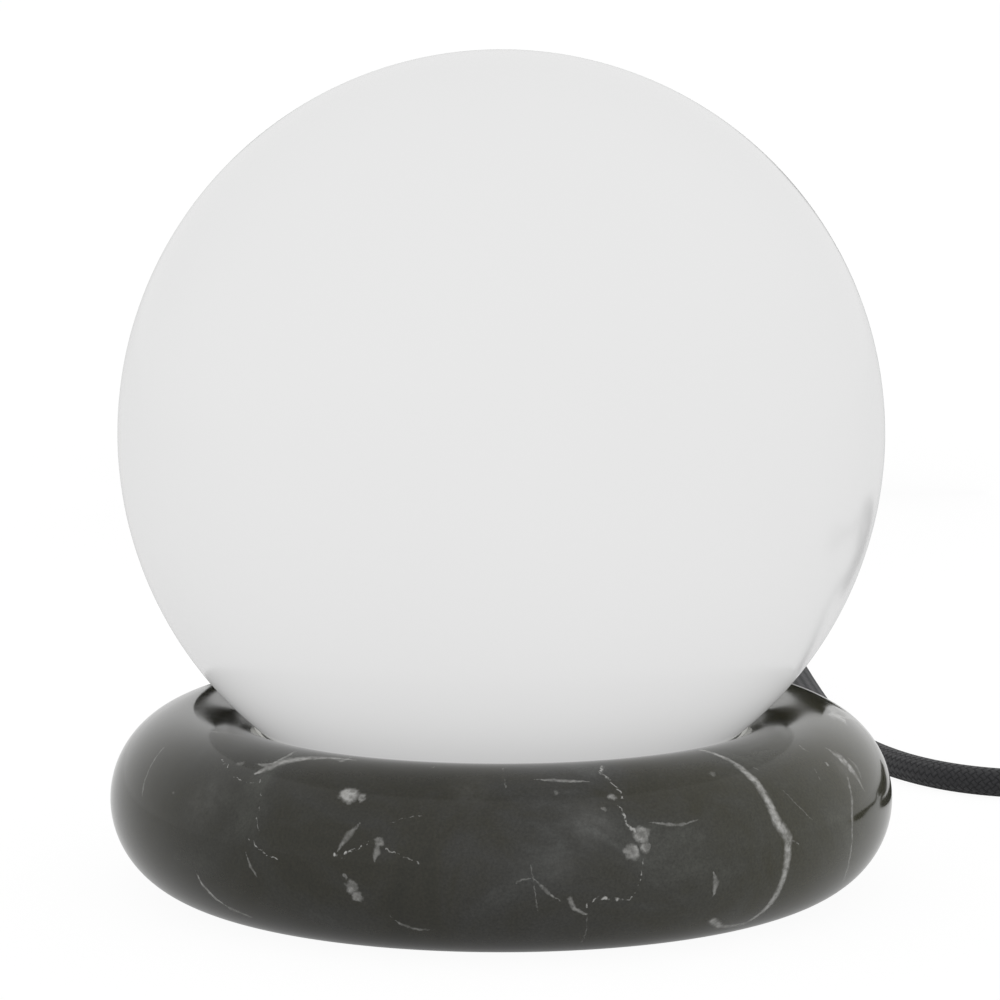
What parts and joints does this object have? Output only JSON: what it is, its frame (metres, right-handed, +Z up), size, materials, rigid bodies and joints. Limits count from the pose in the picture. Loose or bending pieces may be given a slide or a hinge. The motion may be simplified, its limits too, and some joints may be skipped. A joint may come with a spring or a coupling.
{
  "type": "table lamp",
  "caption": "Table lamp with an opal glass globe resting in a thick polished marble ring, with lampholder and bulb inside, and a braided cord with in-line switch and plug.",
  "frame": {"origin": "on the table, under the middle of the marble ring", "axes": "+Z up, -Y the lamp's front, +Y where the cord leaves the ring"},
  "size_m": [0.3805, 0.413, 0.1972],
  "materials": {
    "marble": "polished, with white veins",
    "opal_glass": "opal white, smooth",
    "silicone": "satin, milky",
    "pad": "matte foam",
    "zinc_steel": "zinc plated",
    "brass": "bright",
    "black_plastic": "fine texture",
    "black_rubber": "matte",
    "braid": "braided textile",
    "core_insulation": "smooth",
    "holder_plastic": "moulded",
    "ceramic": "unglazed",
    "nickel": "nickel plated",
    "dark_glass": "gloss",
    "bulb_plastic": "satin",
    "diffuser": "opal, satin",
    "board_metal": "white coated",
    "phosphor": "soft",
    "circuit_board": "laminate",
    "driver_part": "sleeved"
  },
  "bodies": {
    "lamp_base": {"marble_ring": "marble", "seat_ring": "silicone", "foot_pad": "pad", "base_plate": "zinc_steel", "plate_screws": "zinc_steel", "holder_bridge": "zinc_steel", "bridge_screws": "zinc_steel", "threaded_nipple": "zinc_steel", "nipple_washer": "zinc_steel", "nipple_nut": "zinc_steel", "clamp_screws": "zinc_steel", "terminal_screws": "zinc_steel", "switch_terminal_screws": "zinc_steel", "switch_cover_screws": "zinc_steel", "switch_pivot": "zinc_steel", "plate_inserts": "brass", "thread_shell": "brass", "centre_contact": "brass", "holder_terminals": "brass", "switch_contacts": "brass", "clamp_block": "black_plastic", "clamp_bar": "black_plastic", "switch_base": "black_plastic", "switch_cover": "black_plastic", "plug_body": "black_plastic", "pin_sleeves": "black_plastic", "cord_relief": "black_rubber", "coil_tie": "black_rubber", "cord_inner": "braid", "cord_lead": "braid", "cord_link": "braid", "cord_coil": "braid", "cord_tail": "braid", "wire_cores": "core_insulation", "switch_wires": "core_insulation", "holder_cap": "holder_plastic", "holder_sleeve": "holder_plastic", "holder_core": "ceramic", "plug_pins": "nickel"},
    "globe": {"glass_globe": "opal_glass"},
    "bulb_carrier": {"cap_contact": "nickel"},
    "bulb": {"bulb_cap": "nickel", "cap_insulator": "dark_glass", "bulb_housing": "bulb_plastic", "bulb_envelope": "diffuser", "led_board": "board_metal", "led_chips": "phosphor", "driver_board": "circuit_board", "driver_parts": "driver_part"},
    "rocker": {"switch_rocker": "holder_plastic", "rocker_blade": "brass"}
  },
  "joints": [
    {"name": "globe_lift", "type": "slide", "parent": "lamp_base", "child": "globe", "axis": [0, 0, 1], "range_m": [0, 0.12]},
    {"name": "bulb_rise", "type": "slide", "parent": "lamp_base", "child": "bulb_carrier", "axis": [0, 0, 1], "range_m": [0, 0.01411]},
    {"name": "bulb_turn", "type": "hinge", "parent": "bulb_carrier", "child": "bulb", "pos_m": [0, 0, 0.06], "axis": [0, 0, 1], "range_deg": [0, 1800]},
    {"name": "switch_rock", "type": "hinge", "parent": "lamp_base", "child": "rocker", "pos_m": [0.1854, 0.195, 0.0142], "axis": [1, 0, 0], "range_deg": [0, 16]}
  ],
  "couplings": [
    {"joint": "bulb_rise", "follows": "bulb_turn", "m_per_rad": 0.00044882}
  ]
}
